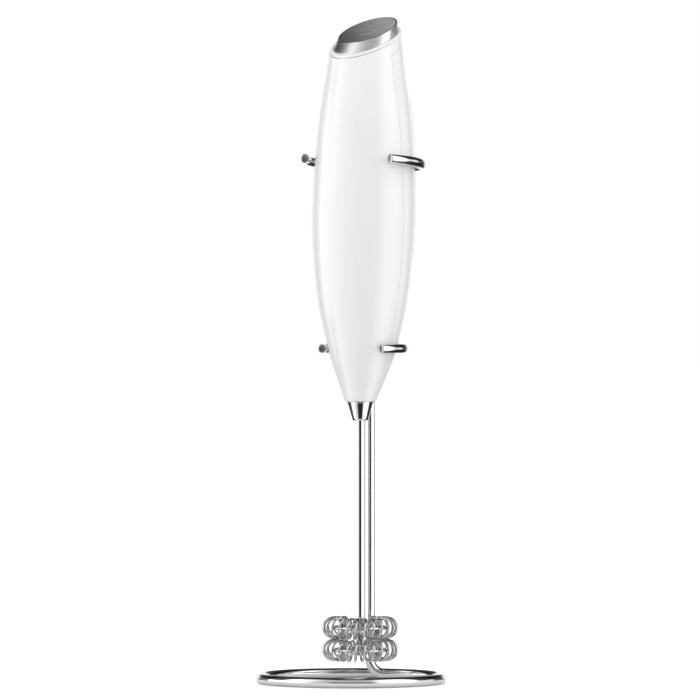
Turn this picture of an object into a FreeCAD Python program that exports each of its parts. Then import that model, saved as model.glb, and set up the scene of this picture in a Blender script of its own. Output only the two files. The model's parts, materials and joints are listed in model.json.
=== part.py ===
import FreeCAD, Part
import math
import os
import re

os.makedirs("parts", exist_ok=True)
doc = FreeCAD.newDocument("milk_frother")

# A battery milk frother standing in its wire stand.
# The origin is the centre of the base ring at table level, +Z is up and -Y is the front.
# All sizes are in millimetres and degrees.
SIZES = {
    # wire stand
    "rod_radius": 1.75,
    "ring_radius": 30.6,
    "clip_wire": 1.5,
    "clip_start": -25.4,
    "clip_sweep": 251.4,
    "upper_clip_radius": 20.0,
    "upper_clip_height": 176.5,
    "upper_clip_shift": 1.77,
    "upper_clip_tilt": 4.5,
    "lower_clip_radius": 13.95,
    "lower_clip_height": 113.1,
    "lower_clip_shift": 1.55,
    "foot_join_angle": 76.0,
    "foot_arc_radius": 19.0,
    "foot_arc_start": 88.0,
    "foot_arc_end": 121.1,
    "foot_bend_radius": 5.0,
    "post_bend_radius": 25.0,
    "post_lean": 6.2,
    "post_lower_bend": 119.0,
    "post_upper_bend": 160.0,
    "post_top": 179.0,
    # frother axis
    "axis_x": -2.8,
    "axis_y": 8.6,
    # handle shells
    "shell_wall": 1.6,
    "parting_shift": 0.8,
    "top_slope": 26.0,
    "rim_height": 217.3,
    "rim_shift": 3.2,
    "collar_drop": 4.0,
    "slab_width": 80.0,
    "cut_margin": 1.0,
    # battery door
    "door_low": 144.0,
    "door_high": 198.0,
    "door_half_width": 12.8,
    "door_gap": 0.15,
    "door_rise": 0.5,
    "door_thickness": 1.2,
    "recess_depth": 1.0,
    "recess_high": 206.0,
    "door_tool_near": 5.0,
    "door_tool_depth": 40.0,
    # button
    "bezel_rise": 0.8,
    "bezel_step": 0.25,
    "cap_half_width": 10.95,
    "cap_half_depth": 10.5,
    "cap_shift": 3.0,
    "cap_gap": 0.2,
    "cap_height": 2.9,
    "cap_taper": 0.75,
    "cap_top_shift": 1.3,
    "cap_skirt": 1.2,
    "cap_wall": 1.2,
    "cap_roof": 1.5,
    "cap_well_room": 1.6,
    "face_inset": 0.5,
    "face_depth": 0.6,
    "symbol_radius": 3.3,
    "symbol_wire": 0.38,
    "symbol_sweep": 285.0,
    "symbol_bar_start": 1.0,
    "symbol_bar_length": 3.0,
    "stem_radius": 2.2,
    "stem_foot": 201.4,
    "stem_length": 26.0,
    "stem_clearance": 0.1,
    "stem_flange_radius": 5.4,
    "stem_flange_height": 211.0,
    "stem_flange_thickness": 1.2,
    # switch and its board
    "board_radius": 11.0,
    "board_height": 193.4,
    "board_thickness": 1.2,
    "screw_offset": 8.0,
    "screw_radius": 0.8,
    "screw_depth": 2.0,
    "screw_head_radius": 1.6,
    "screw_head_height": 0.9,
    "standoff_radius": 2.0,
    "switch_side": 9.2,
    "switch_top": 203.0,
    "switch_well": 3.0,
    "button_spring_radius": 3.9,
    "button_spring_wire": 0.3,
    "button_spring_pitch": 1.7,
    # nose
    "ferrule_tip_radius": 2.65,
    "ferrule_top_radius": 4.6,
    "ferrule_low": 88.7,
    "ferrule_bore": 2.0,
    "spigot_radius": 3.75,
    "spigot_bore": 2.6,
    "spigot_length": 2.8,
    "bush_clearance": 0.05,
    # battery cells and contacts
    "cell_radius": 7.1,
    "cell_length": 49.0,
    "cell_nub_radius": 2.75,
    "cell_nub_height": 1.0,
    "cell_offset": 7.35,
    "cell_shift": 2.05,
    "contact_thickness": 0.3,
    "contact_width": 9.0,
    "contact_depth": 8.0,
    "left_cell_low": 140.9,
    "right_cell_low": 138.5,
    "cell_spring_radius": 4.0,
    "cell_spring_wire": 0.4,
    "cell_spring_pitch": 1.1,
    # chassis
    "divider_low": 136.0,
    "divider_thickness": 1.2,
    "deck_low": 191.2,
    "deck_thickness": 1.2,
    "chassis_gap": 0.1,
    "rail_width": 3.0,
    "rail_depth": 4.5,
    "rail_offset": 7.6,
    "motor_arm_width": 10.0,
    "motor_arm_thickness": 1.0,
    "motor_arm_low": 117.0,
    "lead_radius": 0.6,
    "lead_offset": 3.0,
    "lead_shift": -7.4,
    "lead_start": 0.6,
    "lead_turn": -4.0,
    "lead_gap": 0.1,
    "lead_side_bend": 1.2,
    "lead_rise_bend": 0.9,
    "lead_hole_gap": 0.2,
    "lead_hole_depth": 8.0,
    # motor
    "can_radius": 8.6,
    "can_flats": 15.0,
    "can_low": 112.6,
    "can_length": 18.6,
    "can_wall": 0.7,
    "end_cap_length": 3.2,
    "boss_radius": 3.5,
    "boss_height": 1.2,
    "magnet_inner": 6.9,
    "magnet_length": 13.0,
    "magnet_gap": 2.0,
    "motor_bush_radius": 2.6,
    "motor_bush_length": 2.4,
    "terminal_offset": 6.5,
    "terminal_thickness": 0.5,
    "terminal_width": 2.2,
    "terminal_length": 3.0,
    "terminal_seat": 1.6,
    "motor_shaft_radius": 1.0,
    "motor_shaft_low": 104.4,
    "motor_shaft_high": 133.8,
    "armature_radius": 6.3,
    "armature_low": 116.4,
    "armature_length": 9.6,
    "slot_start": 2.6,
    "slot_width": 1.4,
    "commutator_radius": 2.4,
    "commutator_low": 127.2,
    "commutator_length": 3.4,
    # whisk
    "shaft_radius": 1.5,
    "shaft_low": 11.6,
    "shaft_high": 104.0,
    "sleeve_radius": 2.9,
    "sleeve_low": 98.8,
    "sleeve_high": 110.0,
    "hub_radius": 2.5,
    "hub_low": 8.9,
    "hub_high": 21.5,
    "whisk_radius": 9.3,
    "core_wire": 0.6,
    "core_bend": 1.2,
    "core_leg_offset": 0.66,
    "core_leg_start": 1.0,
    "coil_radius": 3.35,
    "coil_wire": 0.35,
    "coil_turns": 23,
    "coil_gap": 36.0,
    "coil_grip_turns": 0.75,
    "coil_grip_gap": 0.03,
    "lower_level": 10.8,
    "upper_level": 18.4,
    "whisk_gap_angle": 128.0,
}

# Cross-sections of the handle, from the nose up:
# height, half width (X), half depth (Y) and how far the centre sits behind the frother axis.
HANDLE_SECTIONS = {
    "nose": (95.2, 5.4, 5.4, 0.0),
    "throat": (101.5, 7.85, 7.7, 0.55),
    "neck": (108.5, 10.5, 10.25, 1.0),
    "taper": (116.6, 12.8, 12.35, 1.2),
    "flank": (124.8, 14.7, 14.05, 1.2),
    "grip": (141.1, 17.0, 16.05, 1.4),
    "belly": (157.0, 17.9, 16.9, 1.77),
    "shoulder": (173.7, 17.45, 16.45, 2.22),
    "upper": (194.1, 15.78, 14.89, 2.75),
    "collar": (211.5, 13.1, 12.45, 3.1),
    "crown": (226.0, 11.7, 11.2, 3.5),
}
for section, (height, half_width, half_depth, shift) in HANDLE_SECTIONS.items():
    SIZES[section + "_height"] = height
    SIZES[section + "_half_width"] = half_width
    SIZES[section + "_half_depth"] = half_depth
    SIZES[section + "_shift"] = shift

sheet = doc.addObject("Spreadsheet::Sheet", "Sizes")
for row, (name, value) in enumerate(SIZES.items(), start=1):
    sheet.set("A%d" % row, name)
    sheet.set("B%d" % row, str(value))
    sheet.setAlias("B%d" % row, name)
doc.recompute()

NODES = []
SHORTEST_RUN = 0.001
COIL_POINTS_PER_TURN = 14
ARMATURE_SLOTS = 3
X_AXIS = FreeCAD.Vector(1, 0, 0)
Z_AXIS = FreeCAD.Vector(0, 0, 1)


def in_sheet(formula):
    """Point every size name in a formula at the spreadsheet."""
    def cell(match):
        word = match.group()
        return "Sizes." + word if word in SIZES else word
    return re.sub(r"[a-z][a-z_]*", cell, str(formula))


def bind(part, **fields):
    for field, formula in fields.items():
        part.setExpression(field, in_sheet(formula))


def place(part, at, turn=None):
    if turn is not None:
        part.Placement = FreeCAD.Placement(FreeCAD.Vector(), turn)
    for letter, formula in zip("xyz", at):
        part.setExpression("Placement.Base." + letter, in_sheet(formula))
    return part


def by_axis(right, back, height):
    """A place given from the frother axis."""
    return ("axis_x + (%s)" % right, "axis_y + (%s)" % back, height)


def cylinder(name, radius, height, at, turn=None):
    part = doc.addObject("Part::Cylinder", name)
    bind(part, Radius=radius, Height=height)
    return place(part, at, turn)


def cone(name, low_radius, high_radius, height, at):
    part = doc.addObject("Part::Cone", name)
    bind(part, Radius1=low_radius, Radius2=high_radius, Height=height)
    return place(part, at)


def block(name, width, depth, height, at):
    """A box standing on the middle of its base."""
    part = doc.addObject("Part::Box", name)
    bind(part, Length=width, Width=depth, Height=height)
    corner = ("%s - (%s) / 2" % (at[0], width), "%s - (%s) / 2" % (at[1], depth), at[2])
    return place(part, corner)


def torus(name, radius, wire, at, sweep=360, turn=None):
    part = doc.addObject("Part::Torus", name)
    bind(part, Radius1=radius, Radius2=wire, Angle3=sweep)
    return place(part, at, turn)


def ball(name, radius, at):
    part = doc.addObject("Part::Sphere", name)
    bind(part, Radius=radius)
    return place(part, at)


def fuse(name, *parts):
    part = doc.addObject("Part::MultiFuse", name)
    part.Shapes = list(parts)
    part.Refine = False
    return part


def cut(name, base, *tools):
    part = doc.addObject("Part::Cut", name)
    part.Base = base
    part.Tool = tools[0] if len(tools) == 1 else fuse(name + "_tools", *tools)
    part.Refine = False
    return part


def common(name, first, second):
    part = doc.addObject("Part::MultiCommon", name)
    part.Shapes = [first, second]
    part.Refine = False
    return part


def loft(name, sections, ruled=False):
    part = doc.addObject("Part::Loft", name)
    part.Sections = sections
    part.Solid = True
    part.Ruled = ruled
    return part


def sweep(name, profile, path):
    part = doc.addObject("Part::Sweep", name)
    part.Sections = [profile]
    part.Spine = (path, [])
    part.Solid = True
    part.Frenet = True
    return part


def node(part):
    """Count a finished piece as a sub-part."""
    part.Label = part.Name
    NODES.append(part)
    return part


def fixed(point):
    return tuple(repr(round(number, 6)) for number in point)


def bent_rod(name, corners, bends, wire):
    """Round wire through the corners, each inner corner rounded to its bend radius."""
    pieces = []

    def straight(start, end):
        run = end - start
        if run.Length > SHORTEST_RUN:
            label = "%s_run_%d" % (name, len(pieces))
            turn = FreeCAD.Rotation(Z_AXIS, run)
            pieces.append(cylinder(label, wire, run.Length, fixed(start), turn))

    start = corners[0]
    for before, corner, after, bend in zip(corners, corners[1:], corners[2:], bends):
        inward = (corner - before).normalize()
        outward = (after - corner).normalize()
        angle = inward.getAngle(outward)
        reach = bend * math.tan(angle / 2)
        bend_start = corner - inward * reach
        straight(start, bend_start)
        axis = inward.cross(outward).normalize()
        centre = bend_start + axis.cross(inward) * bend
        turn = FreeCAD.Rotation(bend_start - centre, inward, axis, "ZXY")
        label = "%s_bend_%d" % (name, len(pieces))
        pieces.append(torus(label, bend, wire, fixed(centre), math.degrees(angle), turn))
        start = corner + outward * reach
    straight(start, corners[-1])
    return pieces


def polar(radius, degrees, height=0.0):
    angle = math.radians(degrees)
    return FreeCAD.Vector(radius * math.cos(angle), radius * math.sin(angle), height)


# ---------------------------------------------------------------- wire stand

base_ring = node(torus("base_ring", "ring_radius", "rod_radius", ("0", "0", "rod_radius")))

# The foot leaves the ring on a tighter arc, turns up, and the post then leans outward
# between the two clips.
rod_radius = SIZES["rod_radius"]
foot_arc = SIZES["foot_arc_radius"]
foot_start = SIZES["foot_arc_start"]
foot_end = SIZES["foot_arc_end"]
foot_half_turn = (foot_end - foot_start) / 2
frother_axis = FreeCAD.Vector(SIZES["axis_x"], SIZES["axis_y"], 0)
foot_centre = polar(SIZES["ring_radius"] - foot_arc, SIZES["foot_join_angle"], rod_radius)
foot_corner_radius = foot_arc / math.cos(math.radians(foot_half_turn))
post_heading = polar(1.0, foot_end - 90)
post_foot = foot_centre + polar(foot_arc, foot_end) - post_heading * SIZES["foot_bend_radius"]
post_plan = FreeCAD.Vector(post_foot.x, post_foot.y, 0)
post_outward = (post_plan - frother_axis).normalize()
post_upper_plan = post_plan + post_outward * SIZES["post_lean"]
post_path = [
    foot_centre + polar(foot_arc, foot_start),
    foot_centre + polar(foot_corner_radius, foot_start + foot_half_turn),
    post_foot,
    post_plan + Z_AXIS * SIZES["post_lower_bend"],
    post_upper_plan + Z_AXIS * SIZES["post_upper_bend"],
    post_upper_plan + Z_AXIS * (SIZES["post_top"] - rod_radius),
]
post_bends = [
    foot_arc,
    SIZES["foot_bend_radius"],
    SIZES["post_bend_radius"],
    SIZES["post_bend_radius"],
]
post_pieces = bent_rod("post", post_path, post_bends, "rod_radius")
post_pieces.append(ball("post_tip", "rod_radius", fixed(post_path[-1])))
post_wire = fuse("post_wire", *post_pieces)
upright = node(cut("upright", post_wire, base_ring))

clip_turn = FreeCAD.Rotation(Z_AXIS, SIZES["clip_start"])
clip_lean = FreeCAD.Rotation(X_AXIS, -SIZES["upper_clip_tilt"])
upper_clip_wire = torus("upper_clip_wire", "upper_clip_radius", "clip_wire",
                        by_axis(0, "upper_clip_shift", "upper_clip_height"),
                        "clip_sweep", clip_lean.multiply(clip_turn))
upper_clip = node(cut("upper_clip", upper_clip_wire, upright))
lower_clip_wire = torus("lower_clip_wire", "lower_clip_radius", "clip_wire",
                        by_axis(0, "lower_clip_shift", "lower_clip_height"),
                        "clip_sweep", clip_turn)
lower_clip = node(cut("lower_clip", lower_clip_wire, upright))

# ---------------------------------------------------------------- handle shells


def handle_loft(name, growth):
    """The handle's outline, grown or shrunk all round."""
    sections = []
    for section in HANDLE_SECTIONS:
        oval = doc.addObject("Part::Ellipse", name + "_" + section)
        bind(oval, MajorRadius="%s_half_width + (%s)" % (section, growth),
             MinorRadius="%s_half_depth + (%s)" % (section, growth))
        sections.append(place(oval, by_axis(0, section + "_shift", section + "_height")))
    return loft(name, sections)


def slope_slab(name, rise, thickness):
    """A wide slab parallel to the sloping top, its lower face this far above the rim."""
    slab = doc.addObject("Part::Box", name)
    bind(slab, Length="slab_width", Width="slab_width", Height=thickness)
    at = by_axis("-slab_width / 2",
                 "rim_shift - cos(top_slope) * slab_width / 2",
                 "rim_height + (%s) - sin(top_slope) * slab_width / 2" % rise)
    return place(slab, at, FreeCAD.Rotation(X_AXIS, SIZES["top_slope"]))


handle_outer = handle_loft("handle_outer", "0")
handle_cavity = handle_loft("handle_cavity", "-shell_wall")
above_rim = slope_slab("above_rim", "0", "slab_width")
shell_tube = cut("shell_tube", handle_outer, handle_cavity, above_rim)

rear_half = block("rear_half", "slab_width", "slab_width", "slab_width * 2",
                  by_axis(0, "parting_shift + slab_width / 2", "slab_width"))
above_collar = slope_slab("above_collar", "-collar_drop", "slab_width")
rear_region = cut("rear_region", rear_half, above_collar)
front_blank = cut("front_blank", shell_tube, rear_region)
rear_blank = common("rear_blank", shell_tube, rear_region)

# The battery door fills a window in the rear shell. Above it a shallow thumb recess
# gives the door room to slide up.
door_tool_back = "door_tool_near + door_tool_depth / 2"
door_window = block("door_window", "door_half_width * 2", "door_tool_depth",
                    "door_high - door_low", by_axis(0, door_tool_back, "door_low"))
recess_block = block("recess_block", "door_half_width * 2", "door_tool_depth",
                     "recess_high - door_high", by_axis(0, door_tool_back, "door_high"))
recess_floor = handle_loft("recess_floor", "-recess_depth")
thumb_recess = cut("thumb_recess", recess_block, recess_floor)
rear_window = cut("rear_window", rear_blank, door_window)
rear_shell = node(cut("rear_shell", rear_window, thumb_recess))

door_outer = handle_loft("door_outer", "door_rise")
door_inner = handle_loft("door_inner", "door_rise - door_thickness")
door_skin = cut("door_skin", door_outer, door_inner)
door_block = block("door_block", "door_half_width * 2 - door_gap * 2", "door_tool_depth",
                   "door_high - door_low - door_gap * 2",
                   by_axis(0, door_tool_back, "door_low + door_gap"))
battery_door = node(common("battery_door", door_skin, door_block))

# ---------------------------------------------------------------- button


def slope_oval(name, shrink, rise, shift="0"):
    """An oval parallel to the sloping top, given by how far it sits above the rim."""
    oval = doc.addObject("Part::Ellipse", name)
    bind(oval, MajorRadius="(cap_half_depth - (%s)) / cos(top_slope)" % shrink,
         MinorRadius="cap_half_width - (%s)" % shrink)
    back = "cap_shift + (%s)" % shift
    at = by_axis(0, back, "rim_height + (%s) + (%s - rim_shift) * tan(top_slope)" % (rise, back))
    lean = FreeCAD.Rotation(X_AXIS, SIZES["top_slope"])
    return place(oval, at, lean.multiply(FreeCAD.Rotation(Z_AXIS, 90)))


def slope_tube(name, shrink, low, high):
    """A plug with upright sides and sloping ends."""
    ends = [slope_oval(name + "_low", shrink, low), slope_oval(name + "_high", shrink, high)]
    return loft(name, ends, ruled=True)


# The button drops into an oval well in the collar, lined at the top by the bezel.
cap_well = slope_tube("cap_well", "-cap_gap", "-cap_skirt - cap_well_room", "cut_margin")
front_shell = node(cut("front_shell", front_blank, cap_well))

bezel_outer = handle_loft("bezel_outer", "-bezel_step")
bezel_slab = slope_slab("bezel_slab", "0", "bezel_rise * cos(top_slope)")
bezel_lip = common("bezel_lip", bezel_outer, bezel_slab)
bezel_bore = slope_tube("bezel_bore", "-cap_gap", "-cut_margin", "bezel_rise + cut_margin")
button_bezel = node(cut("button_bezel", bezel_lip, bezel_bore))

cap_low = slope_oval("cap_low", "0", "-cap_skirt")
cap_shoulder = slope_oval("cap_shoulder", "0", "bezel_rise")
cap_top = slope_oval("cap_top", "cap_taper", "bezel_rise + cap_height", "cap_top_shift")
cap_blank = loft("cap_blank", [cap_low, cap_shoulder, cap_top], ruled=True)
cap_hollow = slope_tube("cap_hollow", "cap_taper + cap_wall", "-cap_skirt - cut_margin",
                        "bezel_rise + cap_height - cap_roof")
face_low = slope_oval("face_low", "cap_taper + face_inset",
                      "bezel_rise + cap_height - face_depth", "cap_top_shift")
face_high = slope_oval("face_high", "cap_taper + face_inset",
                       "bezel_rise + cap_height", "cap_top_shift")
face_plate = loft("face_plate", [face_low, face_high], ruled=True)
button_cap = node(cut("button_cap", cap_blank, cap_hollow, face_plate))

# A plain on/off mark stands up from the face: an open ring and a bar across its gap.
face_back = "cap_shift + cap_top_shift"
face_height = "rim_height + bezel_rise + cap_height + (%s - rim_shift) * tan(top_slope)" % face_back
face_lean = FreeCAD.Rotation(X_AXIS, SIZES["top_slope"])
mark_start = FreeCAD.Rotation(Z_AXIS, 90 + (360 - SIZES["symbol_sweep"]) / 2)
mark_ring = torus("mark_ring", "symbol_radius", "symbol_wire",
                  by_axis(0, face_back, face_height), "symbol_sweep",
                  face_lean.multiply(mark_start))
mark_bar = cylinder("mark_bar", "symbol_wire", "symbol_bar_length",
                    by_axis(0, face_back + " + symbol_bar_start * cos(top_slope)",
                            face_height + " + symbol_bar_start * sin(top_slope)"),
                    FreeCAD.Rotation(X_AXIS, SIZES["top_slope"] - 90))
button_face = node(fuse("button_face", face_plate, mark_ring, mark_bar))

stem = cylinder("stem", "stem_radius", "stem_length", by_axis(0, "cap_shift", "stem_foot"))
stem_flange = cylinder("stem_flange", "stem_flange_radius", "stem_flange_thickness",
                       by_axis(0, "cap_shift", "stem_flange_height"))
stem_blank = fuse("stem_blank", stem, stem_flange)
above_stem = slope_slab("above_stem", "bezel_rise + cap_height - cap_roof", "slab_width")
switch_plunger = node(cut("switch_plunger", stem_blank, above_stem))

# ---------------------------------------------------------------- switch and board

SCREW_PLACES = ("-screw_offset", "screw_offset")
switch_board_blank = cylinder("switch_board_blank", "board_radius", "board_thickness",
                              by_axis(0, "cap_shift", "board_height"))
screw_shanks = []
screw_heads = []
for index, side in enumerate(SCREW_PLACES):
    screw_shanks.append(cylinder("screw_shank_%d" % index, "screw_radius",
                                 "board_thickness + screw_depth",
                                 by_axis(side, "cap_shift", "board_height - screw_depth")))
    screw_heads.append(cylinder("screw_head_%d" % index, "screw_head_radius",
                                "screw_head_height",
                                by_axis(side, "cap_shift", "board_height + board_thickness")))
board_screws = node(fuse("board_screws", *screw_shanks, *screw_heads))
switch_board = node(cut("switch_board", switch_board_blank, *screw_shanks))

switch_blank = block("switch_blank", "switch_side", "switch_side",
                     "switch_top - board_height - board_thickness",
                     by_axis(0, "cap_shift", "board_height + board_thickness"))
switch_well = cylinder("switch_well", "stem_radius + stem_clearance",
                       "switch_well + cut_margin",
                       by_axis(0, "cap_shift", "switch_top - switch_well"))
switch_case = node(cut("switch_case", switch_blank, switch_well))


def coil_spring(name, radius, wire, pitch, low, high, right, back):
    """A round-wire spring standing between two levels."""
    path = doc.addObject("Part::Helix", name + "_path")
    bind(path, Radius=radius, Pitch=pitch, Height="%s - (%s) - 2 * %s" % (high, low, wire))
    place(path, by_axis(right, back, "%s + %s" % (low, wire)))
    profile = doc.addObject("Part::Circle", name + "_profile")
    bind(profile, Radius=wire)
    place(profile, by_axis("%s + %s" % (right, radius), back, "%s + %s" % (low, wire)),
          FreeCAD.Rotation(X_AXIS, 90))
    return sweep(name, profile, path)


button_spring = node(coil_spring("button_spring", "button_spring_radius", "button_spring_wire",
                                 "button_spring_pitch", "switch_top", "stem_flange_height",
                                 "0", "cap_shift"))

# ---------------------------------------------------------------- cells and contacts


def battery_cell(name, side, can_low, nub_low):
    can = cylinder(name + "_can", "cell_radius", "cell_length",
                   by_axis(side, "cell_shift", can_low))
    nub = cylinder(name + "_nub", "cell_nub_radius", "cell_nub_height",
                   by_axis(side, "cell_shift", nub_low))
    return node(fuse(name, can, nub))


battery_cell("cell_left", "-cell_offset", "left_cell_low", "left_cell_low + cell_length")
battery_cell("cell_right", "cell_offset", "right_cell_low", "right_cell_low - cell_nub_height")

bridge_contact = node(block("bridge_contact", "cell_offset * 2 + contact_width", "contact_depth",
                            "contact_thickness",
                            by_axis(0, "cell_shift", "divider_low + divider_thickness")))
positive_contact = node(block("positive_contact", "contact_width", "contact_depth",
                              "deck_low - left_cell_low - cell_length - cell_nub_height",
                              by_axis("-cell_offset", "cell_shift",
                                      "left_cell_low + cell_length + cell_nub_height")))
negative_contact = node(block("negative_contact", "contact_width", "contact_width",
                              "contact_thickness",
                              by_axis("cell_offset", "cell_shift",
                                      "deck_low - contact_thickness")))
node(coil_spring("cell_spring_lower", "cell_spring_radius", "cell_spring_wire",
                 "cell_spring_pitch", "divider_low + divider_thickness + contact_thickness",
                 "left_cell_low", "-cell_offset", "cell_shift"))
node(coil_spring("cell_spring_upper", "cell_spring_radius", "cell_spring_wire",
                 "cell_spring_pitch", "right_cell_low + cell_length",
                 "deck_low - contact_thickness", "cell_offset", "cell_shift"))

# ---------------------------------------------------------------- chassis

chassis_fit = handle_loft("chassis_fit", "-shell_wall - chassis_gap")
divider_slab = block("divider_slab", "slab_width", "slab_width", "divider_thickness",
                     by_axis(0, 0, "divider_low"))
divider = common("divider", chassis_fit, divider_slab)
deck_slab = block("deck_slab", "slab_width", "slab_width", "deck_thickness",
                  by_axis(0, 0, "deck_low"))
deck = common("deck", chassis_fit, deck_slab)
chassis_pieces = [divider, deck]
for index, side in enumerate((-1, 1)):
    chassis_pieces.append(block("rail_%d" % index, "rail_width", "rail_depth",
                                "deck_low - divider_low - divider_thickness",
                                by_axis(0, "cell_shift + %d * rail_offset" % side,
                                        "divider_low + divider_thickness")))
    chassis_pieces.append(block("motor_arm_%d" % index, "motor_arm_width",
                                "motor_arm_thickness", "divider_low - motor_arm_low",
                                by_axis(0, "%d * (can_flats + motor_arm_thickness) / 2" % side,
                                        "motor_arm_low")))
for index, side in enumerate(SCREW_PLACES):
    chassis_pieces.append(cylinder("standoff_%d" % index, "standoff_radius",
                                   "board_height - deck_low - deck_thickness",
                                   by_axis(side, "cap_shift", "deck_low + deck_thickness")))
lead_holes = [
    cylinder("lead_hole_%d" % index, "lead_radius + lead_hole_gap", "slab_width",
             by_axis("%d * lead_offset" % side, "lead_shift", "divider_low - lead_hole_depth"))
    for index, side in enumerate((-1, 1))
]
chassis_blank = fuse("chassis_blank", *chassis_pieces)
chassis = node(cut("chassis", chassis_blank, *lead_holes, *screw_shanks))

# ---------------------------------------------------------------- motor


def motor_round(name, shrink, low, length):
    """The motor's round body with two flats, drawn in from its outside."""
    round_part = cylinder(name + "_round", "can_radius - (%s)" % shrink, length,
                          by_axis(0, 0, low))
    flats = block(name + "_flats", "can_radius * 2", "can_flats - 2 * (%s)" % shrink, length,
                  by_axis(0, 0, low))
    return common(name, round_part, flats)


can_outside = motor_round("can_outside", "0", "can_low", "can_length")
can_inside = motor_round("can_inside", "can_wall", "can_low + can_wall", "can_length")
can_hole = cylinder("can_hole", "motor_bush_radius", "can_wall * 3",
                    by_axis(0, 0, "can_low - can_wall"))
motor_can = node(cut("motor_can", can_outside, can_inside, can_hole))

magnet_blank = motor_round("magnet_blank", "can_wall", "can_low + can_wall + magnet_gap",
                           "magnet_length")
magnet_bore = cylinder("magnet_bore", "magnet_inner", "can_length",
                       by_axis(0, 0, "can_low"))
motor_magnets = node(cut("motor_magnets", magnet_blank, magnet_bore))

can_top = "can_low + can_length"
end_cap_body = motor_round("end_cap_body", "0", can_top, "end_cap_length")
end_cap_boss = cylinder("end_cap_boss", "boss_radius", "boss_height",
                        by_axis(0, 0, can_top + " + end_cap_length"))
end_cap_blank = fuse("end_cap_blank", end_cap_body, end_cap_boss)
end_cap_seat = cylinder("end_cap_seat", "motor_bush_radius", "end_cap_length",
                        by_axis(0, 0, can_top))
motor_end_cap_solid = cut("motor_end_cap_solid", end_cap_blank, end_cap_seat)

bush_levels = ("can_low", can_top + " + end_cap_length - motor_bush_length")
bush_bodies = []
bush_bores = []
for index, level in enumerate(bush_levels):
    bush_bodies.append(cylinder("bush_body_%d" % index, "motor_bush_radius",
                                "motor_bush_length", by_axis(0, 0, level)))
    bush_bores.append(cylinder("bush_bore_%d" % index, "motor_shaft_radius + bush_clearance",
                               "motor_bush_length", by_axis(0, 0, level)))
bush_pair = fuse("bush_pair", *bush_bodies)
motor_bushes = node(cut("motor_bushes", bush_pair, *bush_bores))

terminal_pair = [
    block("terminal_%d" % index, "terminal_thickness", "terminal_width", "terminal_length",
          by_axis("%d * terminal_offset" % side, 0,
                  can_top + " + end_cap_length - terminal_seat"))
    for index, side in enumerate((-1, 1))
]
motor_terminals = node(fuse("motor_terminals", *terminal_pair))
motor_end_cap = node(cut("motor_end_cap", motor_end_cap_solid, motor_terminals))

# ---------------------------------------------------------------- leads

LEADS = {"lead_red": -1, "lead_black": 1}
for name, side in LEADS.items():
    terminal_side = side * (SIZES["terminal_offset"] + SIZES["terminal_thickness"] / 2
                            + SIZES["lead_radius"])
    terminal_level = SIZES["divider_low"] - SIZES["lead_radius"] - SIZES["lead_gap"]
    rise_side = side * SIZES["lead_offset"]
    lead_path = [
        frother_axis + FreeCAD.Vector(terminal_side, SIZES["lead_start"], terminal_level),
        frother_axis + FreeCAD.Vector(terminal_side, SIZES["lead_turn"], terminal_level),
        frother_axis + FreeCAD.Vector(rise_side, SIZES["lead_shift"], terminal_level),
        frother_axis + FreeCAD.Vector(rise_side, SIZES["lead_shift"], SIZES["board_height"]),
    ]
    lead_bends = [SIZES["lead_side_bend"], SIZES["lead_rise_bend"]]
    lead_pieces = bent_rod(name, lead_path, lead_bends, "lead_radius")
    node(fuse(name, *lead_pieces))

# ---------------------------------------------------------------- nose

ferrule_cone = cone("ferrule_cone", "ferrule_tip_radius", "ferrule_top_radius",
                    "nose_height - ferrule_low", by_axis(0, 0, "ferrule_low"))
ferrule_spigot = cylinder("ferrule_spigot", "spigot_radius", "spigot_length",
                          by_axis(0, 0, "nose_height"))
ferrule_blank = fuse("ferrule_blank", ferrule_cone, ferrule_spigot)
ferrule_bore = cylinder("ferrule_bore", "ferrule_bore", "spigot_length * 4",
                        by_axis(0, 0, "ferrule_low - cut_margin"))
spigot_bore = cylinder("spigot_bore", "spigot_bore", "spigot_length + cut_margin",
                       by_axis(0, 0, "nose_height"))
nose_ferrule = node(cut("nose_ferrule", ferrule_blank, ferrule_bore, spigot_bore))

nose_bush_blank = cylinder("nose_bush_blank", "spigot_bore", "spigot_length",
                           by_axis(0, 0, "nose_height"))
nose_bush_bore = cylinder("nose_bush_bore", "shaft_radius + bush_clearance", "spigot_length",
                          by_axis(0, 0, "nose_height"))
nose_bush = node(cut("nose_bush", nose_bush_blank, nose_bush_bore))

# ---------------------------------------------------------------- whisk

motor_shaft = node(cylinder("motor_shaft", "motor_shaft_radius",
                            "motor_shaft_high - motor_shaft_low",
                            by_axis(0, 0, "motor_shaft_low")))
whisk_shaft = node(cylinder("whisk_shaft", "shaft_radius", "shaft_high - shaft_low",
                            by_axis(0, 0, "shaft_low")))

armature_blank = cylinder("armature_blank", "armature_radius", "armature_length",
                          by_axis(0, 0, "armature_low"))
armature_slots = []
for index in range(ARMATURE_SLOTS):
    slot = doc.addObject("Part::Box", "armature_slot_%d" % index)
    bind(slot, Length="armature_radius", Width="slot_width", Height="armature_length")
    turn = FreeCAD.Rotation(Z_AXIS, 360 / ARMATURE_SLOTS * index + 30)
    slot_corner = FreeCAD.Vector(SIZES["slot_start"], -SIZES["slot_width"] / 2,
                                 SIZES["armature_low"])
    corner = turn.multVec(slot_corner) + frother_axis
    armature_slots.append(place(slot, fixed(corner), turn))
armature = node(cut("armature", armature_blank, motor_shaft, *armature_slots))

commutator_blank = cylinder("commutator_blank", "commutator_radius", "commutator_length",
                            by_axis(0, 0, "commutator_low"))
commutator = node(cut("commutator", commutator_blank, motor_shaft))

sleeve_blank = cylinder("sleeve_blank", "sleeve_radius", "sleeve_high - sleeve_low",
                        by_axis(0, 0, "sleeve_low"))
coupling_sleeve = node(cut("coupling_sleeve", sleeve_blank, motor_shaft, whisk_shaft))

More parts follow.
